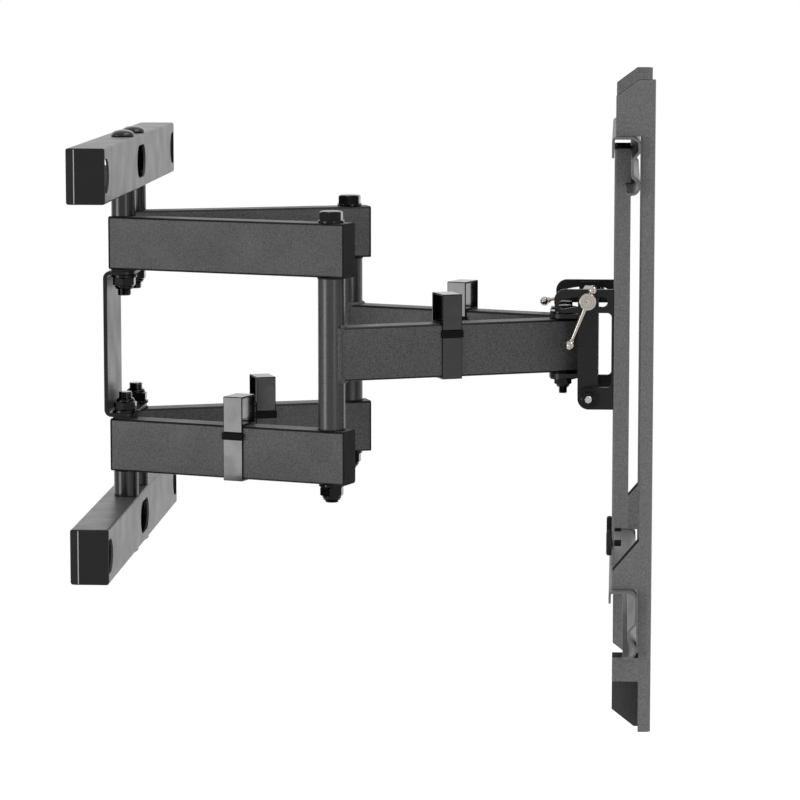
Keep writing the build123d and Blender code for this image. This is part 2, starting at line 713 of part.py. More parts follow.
# Tilting cheeks: C-shaped plates with a slotted ear above and the pivot below
slot_radius = hypot(stud_x - tilt_x, stud_z - tilt_pivot_z)
stud_angle = degrees(atan2(stud_z - tilt_pivot_z, stud_x - tilt_x))
slot_start = stud_angle - tilt_back - slot_spare_back
slot_end = stud_angle + tilt_forward + slot_spare_forward
slot_half = stud_radius + stud_play
slot_line = CenterArc((tilt_x, tilt_pivot_z), slot_radius, slot_start, slot_end - slot_start)
ear_x = tilt_x + slot_radius * cos(radians(slot_end)) - slot_half - ear_end_wall
ear_bottom_z = stud_z - ear_half_height
ear_top_z = stud_z + ear_half_height
arm_top_z = tilt_pivot_z + tilt_arm_half_height
for side_name, side in sides:
    with BuildPart() as tilt_cheek:
        with BuildSketch(Plane.XZ.offset(-side * frame_cheek_inner)):
            with BuildLine():
                Polyline((frame_x, ear_top_z), (ear_x, ear_top_z), (ear_x, ear_bottom_z),
                         (frame_x - spine, ear_bottom_z), (frame_x - spine, arm_top_z), (tilt_x, arm_top_z),
                         (tilt_x, tilt_pivot_z - tilt_arm_half_height),
                         (frame_x, tilt_pivot_z - tilt_arm_half_height), close=True)
            make_face()
            with Locations((tilt_x, tilt_pivot_z)):
                Circle(tilt_lobe_radius)
        extrude(amount=-side * frame_cheek)
        ear_corners = tilt_cheek.edges().filter_by(Axis.Y).filter_by(
            lambda edge: edge.center().X < ear_x + 0.01)
        fillet(ear_corners, ear_round)
        window_corners = tilt_cheek.edges().filter_by(Axis.Y).filter_by(
            lambda edge: abs(edge.center().X - frame_x + spine) < 0.01)
        fillet(window_corners, frame_window_round)
        with BuildSketch(Plane.XZ.offset(-side * frame_cheek_inner)):
            SlotArc(slot_line, 2 * slot_half)
        extrude(amount=-side * frame_cheek, mode=Mode.SUBTRACT)
        with Locations(Location((tilt_x, 0, tilt_pivot_z), (90, 0, 0))):
            Cylinder(tilt_bolt_radius + running_gap, 3 * frame_cheek_outer, mode=Mode.SUBTRACT)
    save(tilt_cheek, f"tilt_cheek_{side_name}")

# Channel plate: web towards the wall, side flanges towards the television
tv_rail_under_z = tv_rail_lower_z + tv_rail_lower_height / 2
foot_z = tv_rail_upper_z - (tv_rail_upper_height - tv_rail_sheet) / 2
with BuildPart() as channel_plate:
    with BuildSketch(Plane.XY.offset(channel_flange_bottom_z)):
        with Locations((frame_x, 0)):
            Rectangle(channel_depth, 2 * channel_half_width, align=(Align.MIN, Align.CENTER))
        with Locations((frame_x + channel_sheet, 0)):
            Rectangle(channel_depth, 2 * (channel_half_width - channel_sheet),
                      align=(Align.MIN, Align.CENTER), mode=Mode.SUBTRACT)
    extrude(amount=channel_top_z - channel_flange_bottom_z)
    with BuildSketch(Plane.XY.offset(tv_rail_under_z)):
        with Locations((frame_x, 0)):
            Rectangle(channel_sheet, 2 * channel_half_width, align=(Align.MIN, Align.CENTER))
    extrude(amount=channel_flange_bottom_z - tv_rail_under_z)
    # The upper rail's foot reaches through the side flanges
    with BuildSketch(Plane.XZ.offset(-channel_half_width)):
        with Locations((channel_front_x, foot_z)):
            Rectangle(2 * (tv_rail_foot_return - tv_rail_bulge_out + foot_spare) + tv_rail_sheet,
                      2 * foot_spare + tv_rail_sheet)
    extrude(amount=2 * channel_half_width, mode=Mode.SUBTRACT)
    bends = channel_plate.edges().filter_by(Axis.Z).filter_by(
        lambda edge: edge.center().X < frame_x + 0.01 and edge.center().Z > channel_flange_bottom_z)
    fillet(bends, channel_bend)
    for _, side in sides:
        with Locations(Location((frame_x, side * knob_half_spacing, knob_z), (0, 90, 0))):
            Cylinder(knob_stud_radius + running_gap, 4 * channel_sheet, mode=Mode.SUBTRACT)
save(channel_plate, "channel_plate")

# Lock knobs: lobed heads with a stud through the channel plate
for side_name, side in sides:
    with BuildPart() as lock_knob:
        knob_plane = Plane(origin=(frame_x - slip_gap, side * knob_half_spacing, knob_z),
                           x_dir=(0, 1, 0), z_dir=(-1, 0, 0))
        with BuildSketch(knob_plane):
            Circle(knob_radius - knob_lobe_radius / 2)
            with PolarLocations(knob_radius - knob_lobe_radius, knob_lobes):
                Circle(knob_lobe_radius)
        extrude(amount=knob_thickness)
        with BuildSketch(knob_plane):
            Circle(knob_stud_radius)
        extrude(amount=-(channel_sheet + knob_stud_beyond))
    save(lock_knob, f"lock_knob_{side_name}")

# Television rails
hook_x = head_x + tv_rail_hook_ahead + tv_rail_sheet / 2
web_x = channel_front_x + tv_rail_sheet / 2
bulge_x = channel_front_x + tv_rail_bulge_out - tv_rail_sheet / 2
bend_radii = (tv_rail_bend, tv_rail_bulge_round, tv_rail_slope_round, tv_rail_bend,
              tv_rail_bend, tv_rail_slope_round, tv_rail_bulge_round)
tv_rails = (("upper", tv_rail_upper_z, tv_rail_upper_height, tv_rail_upper_bulge, tv_rail_upper_drop),
            ("lower", tv_rail_lower_z, tv_rail_lower_height, tv_rail_lower_bulge, tv_rail_lower_drop))
for level, centre_z, height, bulge, drop in tv_rails:
    top_z = centre_z + (height - tv_rail_sheet) / 2
    bottom_z = centre_z - (height - tv_rail_sheet) / 2
    with BuildPart() as tv_rail:
        with BuildSketch(Plane.XZ.offset(-tv_rail_length / 2)):
            with BuildLine() as fold:
                FilletPolyline((hook_x, top_z - drop), (hook_x, top_z), (bulge_x, top_z),
                               (bulge_x, top_z - bulge),
                               (web_x, top_z - bulge - tv_rail_slope),
                               (web_x, bottom_z + tv_rail_foot_height + tv_rail_slope),
                               (bulge_x, bottom_z + tv_rail_foot_height), (bulge_x, bottom_z),
                               (bulge_x - tv_rail_foot_return, bottom_z), radius=bend_radii)
            trace(fold.line, tv_rail_sheet)
        extrude(amount=tv_rail_length)
    save(tv_rail, f"tv_rail_{level}")

# Upright television brackets: channels, their webs cut away round both rails
tv_back_x = head_x + tv_bracket_back
strip_x = head_x + strip_ahead
outside = tv_bracket_width
for side_name, side in sides:
    with BuildPart() as tv_bracket:
        with BuildSketch(Plane.XY.offset(tv_bracket_bottom_z)):
            with BuildLine() as fold:
                near_y, far_y = [side * tv_spacing_y / 2 + place * (tv_bracket_width - tv_bracket_sheet) / 2
                                 for place in (-1, 1)]
                FilletPolyline((tv_back_x, near_y), (tv_face_x - tv_bracket_sheet / 2, near_y),
                               (tv_face_x - tv_bracket_sheet / 2, far_y), (tv_back_x, far_y),
                               radius=tv_bracket_bend)
            trace(fold.line, tv_bracket_sheet)
        extrude(amount=tv_bracket_top_z - tv_bracket_bottom_z)
        # Chamfer at the top, long cut behind the upper rail, notch for the lower rail
        with BuildSketch(Plane.XZ.offset(-side * tv_spacing_y / 2)):
            with BuildLine():
                Polyline((tv_back_x, tv_bracket_top_z - top_chamfer_z),
                         (tv_back_x + top_chamfer_x, tv_bracket_top_z),
                         (tv_back_x + top_chamfer_x, tv_bracket_top_z + outside),
                         (tv_back_x - outside, tv_bracket_top_z + outside),
                         (tv_back_x - outside, tv_bracket_top_z - top_chamfer_z), close=True)
            make_face()
            with BuildLine():
                Polyline((tv_back_x - outside, upper_notch_top_z), (strip_x, upper_notch_top_z),
                         (strip_x, diagonal_top_z), (tv_back_x, diagonal_bottom_z),
                         (tv_back_x - outside, diagonal_bottom_z), close=True)
            make_face()
            with BuildLine():
                Polyline((tv_back_x - outside, lower_notch_top_z), (strip_x, lower_notch_top_z),
                         (strip_x, lower_notch_bottom_z), (tv_back_x - outside, lower_notch_bottom_z),
                         close=True)
            make_face()
        extrude(amount=tv_bracket_width, both=True, mode=Mode.SUBTRACT)
        # Foot: the outer web stops short, the inner web ends in a chamfer
        with BuildSketch(Plane.XZ.offset(-side * tv_spacing_y / 2)):
            with BuildLine():
                Polyline((tv_back_x - outside, foot_cut_z), (strip_x, foot_cut_z),
                         (strip_x, tv_bracket_bottom_z - outside),
                         (tv_back_x - outside, tv_bracket_bottom_z - outside), close=True)
            make_face()
        extrude(amount=-side * tv_bracket_width, mode=Mode.SUBTRACT)
        with BuildSketch(Plane.XZ.offset(-side * tv_spacing_y / 2)):
            with BuildLine():
                Polyline((tv_back_x, tv_bracket_bottom_z + foot_chamfer_z),
                         (tv_back_x + top_chamfer_x, tv_bracket_bottom_z),
                         (tv_back_x + top_chamfer_x, tv_bracket_bottom_z - outside),
                         (tv_back_x - outside, tv_bracket_bottom_z - outside),
                         (tv_back_x - outside, tv_bracket_bottom_z + foot_chamfer_z), close=True)
            make_face()
        extrude(amount=side * tv_bracket_width, mode=Mode.SUBTRACT)
        # Holes and slots for the television's screws
        with BuildSketch(Plane.YZ.offset(tv_face_x)):
            with Locations(*[(side * tv_spacing_y / 2, tv_centre_z + place * tv_spacing_z / 2)
                             for place in (-1, 1)]):
                Circle(tv_hole_radius)
            with Locations(*[(side * tv_spacing_y / 2, tv_centre_z + (place - (tv_slot_count - 1) / 2)
                              * tv_spacing_z / (tv_slot_count + 1)) for place in range(tv_slot_count)]):
                SlotOverall(tv_slot_length, 2 * tv_hole_radius, rotation=90)
        extrude(amount=-2 * tv_bracket_sheet, mode=Mode.SUBTRACT)
    save(tv_bracket, f"tv_bracket_{side_name}")
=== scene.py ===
import json
import math

import bmesh
import bpy
from mathutils import Matrix, Vector

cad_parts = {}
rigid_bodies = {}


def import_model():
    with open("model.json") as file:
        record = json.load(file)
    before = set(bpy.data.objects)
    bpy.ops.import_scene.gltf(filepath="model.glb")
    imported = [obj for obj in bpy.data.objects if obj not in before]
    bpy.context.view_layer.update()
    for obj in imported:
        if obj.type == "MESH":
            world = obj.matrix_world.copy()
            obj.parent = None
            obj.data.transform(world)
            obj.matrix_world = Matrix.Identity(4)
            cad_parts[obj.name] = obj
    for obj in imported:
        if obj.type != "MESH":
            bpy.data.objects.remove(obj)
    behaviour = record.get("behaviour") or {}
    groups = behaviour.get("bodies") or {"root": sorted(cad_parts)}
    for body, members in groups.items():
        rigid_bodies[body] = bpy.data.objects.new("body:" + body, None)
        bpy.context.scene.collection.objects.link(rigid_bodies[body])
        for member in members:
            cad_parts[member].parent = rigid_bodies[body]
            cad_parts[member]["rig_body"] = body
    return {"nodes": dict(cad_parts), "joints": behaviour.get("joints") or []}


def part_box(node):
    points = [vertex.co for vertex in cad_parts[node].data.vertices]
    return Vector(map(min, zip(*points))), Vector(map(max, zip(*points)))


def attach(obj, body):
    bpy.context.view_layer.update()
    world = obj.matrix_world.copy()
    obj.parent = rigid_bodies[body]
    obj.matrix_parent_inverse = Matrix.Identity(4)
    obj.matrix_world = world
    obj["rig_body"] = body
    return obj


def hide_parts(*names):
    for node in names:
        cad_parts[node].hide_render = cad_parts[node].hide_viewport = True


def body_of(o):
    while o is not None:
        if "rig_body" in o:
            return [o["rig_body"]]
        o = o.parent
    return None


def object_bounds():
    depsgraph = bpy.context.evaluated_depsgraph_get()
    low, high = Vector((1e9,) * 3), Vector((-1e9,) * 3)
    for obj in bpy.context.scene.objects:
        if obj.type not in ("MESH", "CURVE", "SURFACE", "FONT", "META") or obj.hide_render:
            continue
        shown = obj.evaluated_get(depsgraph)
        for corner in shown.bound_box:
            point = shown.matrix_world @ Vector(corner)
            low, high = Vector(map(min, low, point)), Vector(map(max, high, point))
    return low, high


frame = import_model()
cad_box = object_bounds()

# Wall rails
# Two lengths of 60 by 42 mm rectangular steel tube. Rounded openings are cut in the front wall for a socket,
# and the tube is dipped in black powder coat, which leaves a fine, even grain and soft edges.

MM = 0.001


def linear(code):
    """An sRGB hex colour as the linear colour that a shader takes."""
    channels = [int(code[at:at + 2], 16) / 255 for at in (1, 3, 5)]
    return (*[c / 12.92 if c <= 0.04045 else ((c + 0.055) / 1.055) ** 2.4 for c in channels], 1.0)


def add(tree, kind, settings=None, links=None):
    """Adds one node to a material or world, with its settings and what it is linked from. A socket goes by
    its name, or by its number where several share a name."""
    made = tree.nodes.new(kind)
    for name, value in (settings or {}).items():
        if isinstance(name, int) or name in made.inputs:
            made.inputs[name].default_value = value
        else:
            setattr(made, name, value)
    for name, source in (links or {}).items():
        tree.links.new(source, made.inputs[name])
    return made


def new_material(name):
    material = bpy.data.materials.new(name)
    material.use_nodes = True
    material.node_tree.nodes.clear()
    return material, material.node_tree


def per_metre(size_mm):
    """The scale at which a noise has features of this size, read in metres."""
    return 1 / (size_mm * MM)


def powder_coat(name, colour, roughness, grain_mm, speck, depth_mm, specular=0.35):
    """Polyester powder baked on steel: a satin film, a little bumpy like orange peel. The real grain is under
    1 mm. It is drawn at grain_mm so that it still shows at this distance, and its bright and dark specks lie
    a share, speck, above and below the colour."""
    # The film's sheen drifts a little over this width, with the thickness of the coat
    cloud_mm = 38
    material, tree = new_material(name)
    place = add(tree, "ShaderNodeTexCoord").outputs["Object"]
    peel = add(tree, "ShaderNodeTexNoise", {"Scale": per_metre(grain_mm), "Detail": 3.0, "Roughness": 0.6},
               {"Vector": place})
    cloud = add(tree, "ShaderNodeTexNoise", {"Scale": per_metre(cloud_mm), "Detail": 2.0}, {"Vector": place})
    darker = tuple((1 - speck) * c for c in linear(colour)[:3]) + (1.0,)
    lighter = tuple((1 + speck) * c for c in linear(colour)[:3]) + (1.0,)
    grain = add(tree, "ShaderNodeMapRange", {1: 0.36, 2: 0.64, 3: 0.0, 4: 1.0}, {0: peel.outputs["Fac"]})
    tint = add(tree, "ShaderNodeMix", {"data_type": "RGBA", 6: darker, 7: lighter}, {0: grain.outputs[0]})
    rough = add(tree, "ShaderNodeMapRange", {1: 0.3, 2: 0.7, 3: roughness - 0.04, 4: roughness + 0.05},
                {0: cloud.outputs["Fac"]})
    bump = add(tree, "ShaderNodeBump", {"Strength": 0.7, "Distance": depth_mm * MM},
               {"Height": peel.outputs["Fac"]})
    shader = add(tree, "ShaderNodeBsdfPrincipled", {"IOR": 1.5, "Specular IOR Level": specular},
                 {"Base Color": tint.outputs[2], "Roughness": rough.outputs[0], "Normal": bump.outputs[0]})
    add(tree, "ShaderNodeOutputMaterial", links={0: shader.outputs[0]})
    return material


# A finer, shinier coat than the arms have, which turns pale at a low angle
rail_coat = powder_coat("sheeny_black_powder_coat", "#4a4a4a", roughness=0.36, grain_mm=1.6, speck=0.3,
                        depth_mm=0.03, specular=0.6)


def piece_from(shape, name, body, material, nodes=(), smooth_under=35):
    """Makes a shape a piece of the mount, smooth but for its sharp edges, that moves with its body."""
    mesh = bpy.data.meshes.new(name)
    shape.to_mesh(mesh)
    shape.free()
    mesh.shade_smooth()
    mesh.set_sharp_from_angle(angle=math.radians(smooth_under))
    mesh.materials.append(material)
    piece = bpy.data.objects.new(name, mesh)
    bpy.context.scene.collection.objects.link(piece)
    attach(piece, body)
    if nodes:
        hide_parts(*nodes)
    return piece


merge_distance = 0.001 * MM
flat_within = math.radians(0.5)
# Folds and edges sharper than this are eased
sharper_than = math.radians(32)


def frame_shape(node):
    """A merged copy of a frame node's mesh, with its flat faces in one piece each."""
    shape = bmesh.new()
    shape.from_mesh(frame["nodes"][node].data)
    bmesh.ops.remove_doubles(shape, verts=shape.verts, dist=merge_distance)
    bmesh.ops.dissolve_limit(shape, angle_limit=flat_within, verts=shape.verts, edges=shape.edges)
    return shape


def finished(node, name, material, edge_mm=0.5, segments=2, shape=None):
    """A frame node with its sharp edges eased by edge_mm, in its real finish."""
    body = body_of(frame["nodes"][node])[0]
    piece = piece_from(shape or frame_shape(node), name, body, material, [node])
    ease = piece.modifiers.new("eased_edges", "BEVEL")
    ease.width = edge_mm * MM
    ease.segments = segments
    ease.limit_method = "ANGLE"
    ease.angle_limit = sharper_than
    ease.use_clamp_overlap = True
    ease.harden_normals = True
    return piece


# The coat hardly reaches inside the tube. The drawn steel there is as matt as powder and coarser in grain, so
# the same function serves. It is drawn paler than bare steel, as painted light falling in through the
# openings.
bare_steel_painted_light = powder_coat("bare_tube_steel_painted_light", "#a8a8a8", roughness=0.5, grain_mm=3.0, speck=0.15,
                         depth_mm=0.02)
rail_wall = 2.5 * MM
for level in ("upper", "lower"):
    low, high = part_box(f"wall_rail_{level}")
    shape = frame_shape(f"wall_rail_{level}")
    # Faces inside the tube take the pale painted light
    for face in shape.faces:
        spot = face.calc_center_median()
        depth = min(spot.x - low.x, high.x - spot.x, spot.z - low.z, high.z - spot.z)
        face.material_index = int(depth > 0.9 * rail_wall)
    rail = finished(f"wall_rail_{level}", f"coated_wall_rail_{level}", rail_coat, 0.6, shape=shape)
    rail.data.materials.append(bare_steel_painted_light)

# Rail end plugs
# Four black plugs pushed into the rail ends, moulded with a flange that covers the cut edge of the tube.
# The edge beside the wall has a wide bevel, and the skin is smoother than the coated steel.


def moulded_plastic(name, colour, roughness, grain_mm=0.9, depth_mm=0.012, specular=0.06):
    """Injection-moulded black plastic with a soft sheen. The mould's spark texture is finer than it can show,
    and is drawn at grain_mm."""
    # Handling leaves duller and shinier patches of this size
    wear_mm = 16
    material, tree = new_material(name)
    place = add(tree, "ShaderNodeTexCoord").outputs["Object"]
    spark = add(tree, "ShaderNodeTexNoise", {"Scale": per_metre(grain_mm), "Detail": 4.0}, {"Vector": place})
    wear = add(tree, "ShaderNodeTexNoise", {"Scale": per_metre(wear_mm), "Detail": 2.0}, {"Vector": place})
    rough = add(tree, "ShaderNodeMapRange", {1: 0.3, 2: 0.7, 3: roughness - 0.05, 4: roughness + 0.06},
                {0: wear.outputs["Fac"]})
    bump = add(tree, "ShaderNodeBump", {"Strength": 0.5, "Distance": depth_mm * MM},
               {"Height": spark.outputs["Fac"]})
    shader = add(tree, "ShaderNodeBsdfPrincipled",
                 {"Base Color": linear(colour), "IOR": 1.49, "Specular IOR Level": specular},
                 {"Roughness": rough.outputs[0], "Normal": bump.outputs[0]})
    add(tree, "ShaderNodeOutputMaterial", links={0: shader.outputs[0]})
    return material


# Polyethylene is waxy, so the plugs look soft and dull
plug_plastic = moulded_plastic("satin_black_polyethylene", "#2b2b2b", roughness=0.5)
# Painted highlight: a thin pale upright line on the bevel's corner of each plug, where the edge catches the
# light
painted_highlight_plastic = moulded_plastic("grey_polyethylene_painted_highlight", "#b4b4b4", roughness=0.4)
highlight_width = 1.05 * MM
# The flange's bevel goes back 3.5 mm over 8.5 mm
bevel_turn = math.atan2(3.5, 8.5)
shape = frame_shape("rail_end_plugs")
corners = [edge for edge in shape.edges
           if len(edge.link_faces) == 2 and abs(edge.calc_face_angle() - bevel_turn) < 0.1
           and edge.calc_length() > 20 * MM and abs((edge.verts[0].co - edge.verts[1].co).x) < 1 * MM]
# That corner gets a narrow strip of the painted highlight
highlight_faces = bmesh.ops.bevel(shape, geom=corners, offset=highlight_width, segments=1, profile=0.5, affect="EDGES",
                         material=-1)["faces"]
for face in highlight_faces:
    face.material_index = 1
plugs = finished("rail_end_plugs", "moulded_rail_end_plugs", plug_plastic, 0.4, shape=shape)
plugs.data.materials.append(painted_highlight_plastic)

# Spacer sleeves
# Four turned steel sleeves that hold the arms away from the rails. They are polished before the black
# finish, so each carries two bright upright streaks.


def steel(name, colour, roughness, lathe_mm=0.35, depth_mm=0.004, lacquer=0.0):
    """Steel as a lathe or a press leaves it, under a thin plated or blackened finish and perhaps clear
    lacquer. The turning marks are finer than they can show, and are drawn at lathe_mm, long round an upright
    axis and short along it."""
    # Fingers leave duller and shinier patches of this size
    handling_mm = 7
    material, tree = new_material(name)
    place = add(tree, "ShaderNodeTexCoord").outputs["Object"]
    stretch = add(tree, "ShaderNodeMapping", {"Scale": (0.15, 0.15, 1.0)}, {"Vector": place})
    turning = add(tree, "ShaderNodeTexNoise", {"Scale": per_metre(lathe_mm), "Detail": 2.0},
                  {"Vector": stretch.outputs[0]})
    handling = add(tree, "ShaderNodeTexNoise", {"Scale": per_metre(handling_mm), "Detail": 3.0},
                   {"Vector": place})
    rough = add(tree, "ShaderNodeMapRange", {1: 0.3, 2: 0.75, 3: roughness * 0.8, 4: roughness * 1.25},
                {0: handling.outputs["Fac"]})
    bump = add(tree, "ShaderNodeBump", {"Strength": 0.35, "Distance": depth_mm * MM},
               {"Height": turning.outputs["Fac"]})
    shader = add(tree, "ShaderNodeBsdfPrincipled",
                 {"Base Color": linear(colour), "Metallic": 1.0, "Coat Weight": lacquer,
                  "Coat Roughness": 0.08},
                 {"Roughness": rough.outputs[0], "Normal": bump.outputs[0]})
    add(tree, "ShaderNodeOutputMaterial", links={0: shader.outputs[0]})
    return material


# Polished before it was blackened, so it mirrors the lamps in streaks
gloss_black_steel = steel("polished_black_plated_steel", "#363636", roughness=0.2)
finished("spacer_sleeves", "turned_spacer_sleeves", gloss_black_steel, 0.5)

# Wall pivot bolts
# Four M16 bolts with a low mushroom head, pressed and rolled. Each goes through a rail, a sleeve, an arm and
# the C-shaped bracket, and its thread stands out beyond the lock nut.

pivot = {joint["name"]: Vector(joint["pos_m"]) for joint in frame["joints"] if "pos_m" in joint}
LEVELS = (("upper", 1), ("lower", -1))


def skin(shape, rows, centre, axis, steps=40, closed=False):
    """Turns rows into a skin round an axis. A row is (radius, height), or a function of the angle that gives
    them. Angles start from X, or from Y round X. The two ends are filled, or joined when closed."""
    up = Vector(axis).normalized()
    side = Vector((0, 1, 0)) if abs(up.x) > 0.9 else Vector((1, 0, 0))
    side = (side - up * side.dot(up)).normalized()
    across = up.cross(side)
    upright = Matrix((side, across, up)).transposed().to_4x4()
    upright.translation = Vector(centre)
    ring = bmesh.ops.create_circle(shape, segments=steps, radius=1.0)["verts"]
    edges = list({edge for vert in ring for edge in vert.link_edges})
    made = list(ring)
    first = edges
    for count, row in enumerate(rows):
        if count:
            grown = bmesh.ops.extrude_edge_only(shape, edges=edges)["geom"]
            ring = [item for item in grown if isinstance(item, bmesh.types.BMVert)]
            inside = set(ring)
            edges = [item for item in grown
                     if isinstance(item, bmesh.types.BMEdge) and inside.issuperset(item.verts)]
            made += ring
        for vert in ring:
            angle = math.atan2(vert.co.y, vert.co.x)
            radius, height = row(angle) if callable(row) else row
            vert.co = (radius * math.cos(angle), radius * math.sin(angle), height)
    if closed:
        bmesh.ops.bridge_loops(shape, edges=first + edges)
    else:
        bmesh.ops.contextual_create(shape, geom=first)
        bmesh.ops.contextual_create(shape, geom=edges)
    bmesh.ops.transform(shape, matrix=upright, verts=made)
    bmesh.ops.recalc_face_normals(shape, faces=list({face for vert in made for face in vert.link_faces}))
    return made


def arc_rows(radius_at, height_at, bend, start, end, count=6):
    """Rows on an arc of radius bend about a point of the half section, between two angles in degrees."""
    turns = [math.radians(start + (end - start) * step / count) for step in range(count + 1)]
    return [(radius_at + bend * math.cos(turn), height_at + bend * math.sin(turn)) for turn in turns]


def thread_rows(radius, pitch, low, high, per_turn=6):
    """Rows of a screw thread between two heights: each point lies in or out by its place on the helix."""
    depth = 0.55 * pitch
    count = max(2, round((high - low) / pitch * per_turn))

    def row_at(height):
        runout = min(1.0, (height - low) / pitch)

        def row(angle):
            phase = (height / pitch - angle / (2 * math.pi)) % 1.0
            groove = depth * (1 - abs(2 * phase - 1)) * runout
            end_chamfer = max(0.0, depth - (high - height))
            return radius - max(groove, end_chamfer), height
        return row
    return [row_at(low + (high - low) * step / count) for step in range(count + 1)]


# Blackened and lacquered, so the rolled heads are dark with a clear glint
blackened_steel = steel("blackened_steel", "#222222", roughness=0.24, lacquer=0.6)
mushroom_radius = 13.5 * MM
mushroom_height = 8.0 * MM
mushroom_rim = 1.6 * MM
m16_radius = 8.0 * MM
m16_pitch = 2.0 * MM
m16_beyond_nut = 7.4 * MM
m16_nut_height = 13.2 * MM
wall_thread_length = 14 * MM
rail_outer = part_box("wall_rail_upper")[1].z
nut_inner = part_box("wall_pivot_nuts")[1].z - m16_nut_height
# Heights run from the head's seat towards the middle of the mount
end = rail_outer - nut_inner + m16_beyond_nut
thread_start = end - wall_thread_length
crown = [(mushroom_radius * math.sin(math.radians(turn)),
          -mushroom_rim - (mushroom_height - mushroom_rim) * math.cos(math.radians(turn)))
         for turn in range(8, 91, 8)]
skirt = [(mushroom_radius, -1.2 * MM), (mushroom_radius - 0.5 * MM, 0.0), (m16_radius, 0.0)]
shank = [(m16_radius, thread_start)]
thread = thread_rows(m16_radius, m16_pitch, thread_start, end)
shape = bmesh.new()
for _, up in LEVELS:
    for name in ("arm_fold", "arm_fold_far"):
        centre = Vector((pivot[name].x, pivot[name].y, up * rail_outer))
        skin(shape, crown + skirt + shank + thread, centre, (0, 0, -up), steps=48)
piece_from(shape, "rolled_wall_pivot_bolts", "wall_frame", blackened_steel, ["wall_pivot_bolts"])

# Wall pivot nuts and washers
# Lock nuts: a hexagon with its corners turned off and a collar rolled over a nylon ring. A thick washer
# lies under each nut, and a thin plastic one between arm and bracket lets the arm turn.


def hexagon_radius(flats, angle):
    """How far a hexagon reaches at an angle from the middle of a flat."""
    sixth = math.pi / 3
    return flats / 2 / math.cos((angle + sixth / 2) % sixth - sixth / 2)


def hexagon_rows(flats, low, high, ease_high=True, flat_at=30):
    """Rows of a hexagon bar between two heights. Its corners are turned off to a cone at the low end, and at
    the high end when that is eased too. The middle of a flat lies at the angle flat_at."""
    face = 0.475 * flats
    slope = math.tan(math.radians(30))
    flat_turn = math.radians(flat_at)

    def corner_row(height, outward):
        def row(angle):
            corner = hexagon_radius(flats, angle - flat_turn)
            return corner, height - outward * (corner - face) * slope
        return row
    rows = [(face, low), corner_row(low, -1)]
    rows += [corner_row(high, 1), (face, high)] if ease_high else [corner_row(high, 0)]
    return rows


def lock_nut(shape, centre, axis, flats, height, bore, flat_at=30):
    """A lock nut standing on its seat: hexagon, rolled collar, and the nylon ring's hollow round the bore."""
    collar = 0.27 * height
    collar_radius = 0.445 * flats
    collar_round = collar * 0.8
    hexagon_top = height - collar
    lip = 0.40 * flats
    ring_top = height - 0.12 * collar
    rows = [(bore, 0.0)] + hexagon_rows(flats, 0.0, hexagon_top, flat_at=flat_at)
    rows += [(collar_radius, hexagon_top)]
    rows += arc_rows(collar_radius - collar_round, height - collar_round, collar_round, 0, 90, 5)
    rows += [(lip, height), (lip - 0.03 * flats, ring_top), (bore, ring_top)]
    skin(shape, rows, centre, axis, steps=72, closed=True)


m16_flats = 24.0 * MM
# A nut's bore is smaller than its bolt, because the threads reach into each other
m16_bore = m16_radius - 0.3 * MM
shape = bmesh.new()
for _, up in LEVELS:
    for name in ("arm_fold", "arm_fold_far"):
        seat = Vector((pivot[name].x, pivot[name].y, up * (nut_inner + m16_nut_height)))
        lock_nut(shape, seat, (0, 0, -up), m16_flats, m16_nut_height, m16_bore, flat_at=0)
# Black zinc is nearly as dark as paint, but its edges flash like metal
bright_black_steel = steel("black_zinc_plated_steel", "#161616", roughness=0.2, lacquer=0.2)
piece_from(shape, "wall_pivot_lock_nuts", "wall_frame", bright_black_steel, ["wall_pivot_nuts"])
finished("wall_pivot_washers", "stamped_wall_pivot_washers", bright_black_steel, 0.3)
finished("slip_washers", "moulded_slip_washers", plug_plastic, 0.3)

# C-shaped bracket
# One strip of 4.5 mm plate folded twice. It ties the four wall pivots together, its four corners are cut
# to a large round, and its black coat is smoother and glossier than that of the tubes.

# A thin, smooth coat: nearly black, with a soft sheen and hardly any grain
smooth_coat = powder_coat("smooth_black_powder_coat", "#181818", roughness=0.3, grain_mm=2.6, speck=0.2,
                          depth_mm=0.02, specular=0.22)
finished("wall_bracket", "folded_wall_bracket", smooth_coat, 0.6)

# Arms
# Four lengths of 60 by 30 mm tube with a pivot hole near each end, powder coated, and closed by black
# plastic plugs. The upper and lower arm of a side turn together.

SIDES = (("near", -1), ("far", 1))
# A thick coat whose grain shows as fine pale specks
grained_coat = powder_coat("grained_black_powder_coat", "#454545", roughness=0.46, grain_mm=1.6, speck=0.5,
                           depth_mm=0.05)
# Painted shade: the tube's rounded corners are drawn darker, a dark line along each corner where shade falls
painted_shade_corner_coat = powder_coat("black_corner_painted_shade", "#161616", roughness=0.4, grain_mm=1.6, speck=0.3,
                          depth_mm=0.02, specular=0.15)


def mark_corners(shape, heading, index):
    """Gives a tube's rounded corners, whose faces look neither sideways nor up, their own material: the
    painted shade along them.
    """
    across = Vector((-heading.y, heading.x, 0))
    for face in shape.faces:
        sideways, upward = abs(face.normal.dot(across)), abs(face.normal.z)
        if min(sideways, upward) > 0.3:
            face.material_index = index


# The arms' plugs are duller and darker than those of the rails
arm_plug_plastic = moulded_plastic("matt_black_polyethylene", "#1d1d1d", roughness=0.55)
for side, _ in SIDES:
    start, elbow = pivot["arm_fold" if side == "near" else "arm_fold_far"], pivot[f"elbow_{side}"]
    heading = Vector((elbow.x - start.x, elbow.y - start.y, 0)).normalized()
    for level in ("upper", "lower"):
        shape = frame_shape(f"arm_{side}_{level}")
        # The corner faces take the painted shade
        mark_corners(shape, heading, 1)
        arm = finished(f"arm_{side}_{level}", f"coated_arm_{side}_{level}", grained_coat, 0.4, shape=shape)
        arm.data.materials.append(painted_shade_corner_coat)
    finished(f"arm_plugs_{side}", f"moulded_arm_plugs_{side}", arm_plug_plastic, 0.6)

